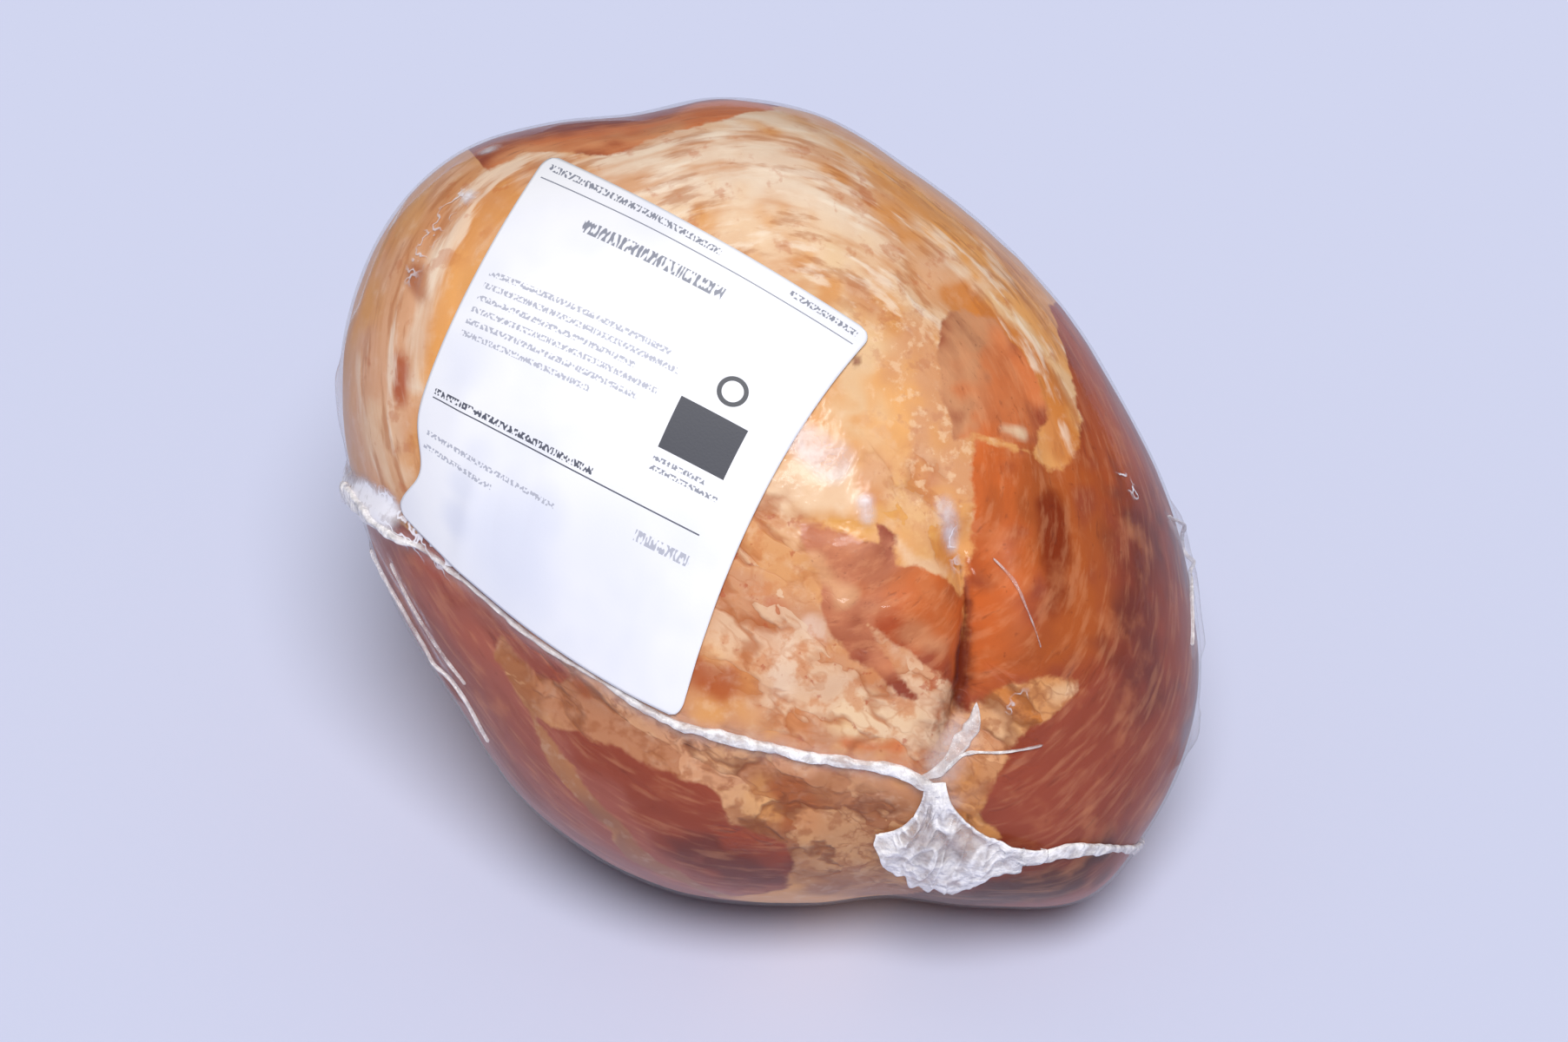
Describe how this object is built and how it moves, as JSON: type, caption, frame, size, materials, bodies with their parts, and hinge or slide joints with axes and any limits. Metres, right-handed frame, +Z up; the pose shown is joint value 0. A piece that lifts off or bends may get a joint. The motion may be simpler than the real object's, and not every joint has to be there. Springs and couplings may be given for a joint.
{
  "type": "smoked ham",
  "caption": "Whole round smoked ham in a tight clear bag with a gathered end seal and a blank paper label, lying on its side.",
  "frame": {"origin": "centre of the base of the bounding box, on the surface that the ham lies on", "axes": "+Z up, +X to the right as one faces the label, -Y towards the viewer of the labelled face"},
  "size_m": [0.1634, 0.1499, 0.1503],
  "materials": {
    "smoked_meat": "smoked pork and fat under tight clear film, glossy",
    "clear_film": "clear shrink film, glossy, whitish where it is sealed or crumpled",
    "label_paper": "white paper label, satin"
  },
  "bodies": {
    "root": {"ham_in_film": "smoked_meat", "label": "label_paper"}
  },
  "joints": []
}
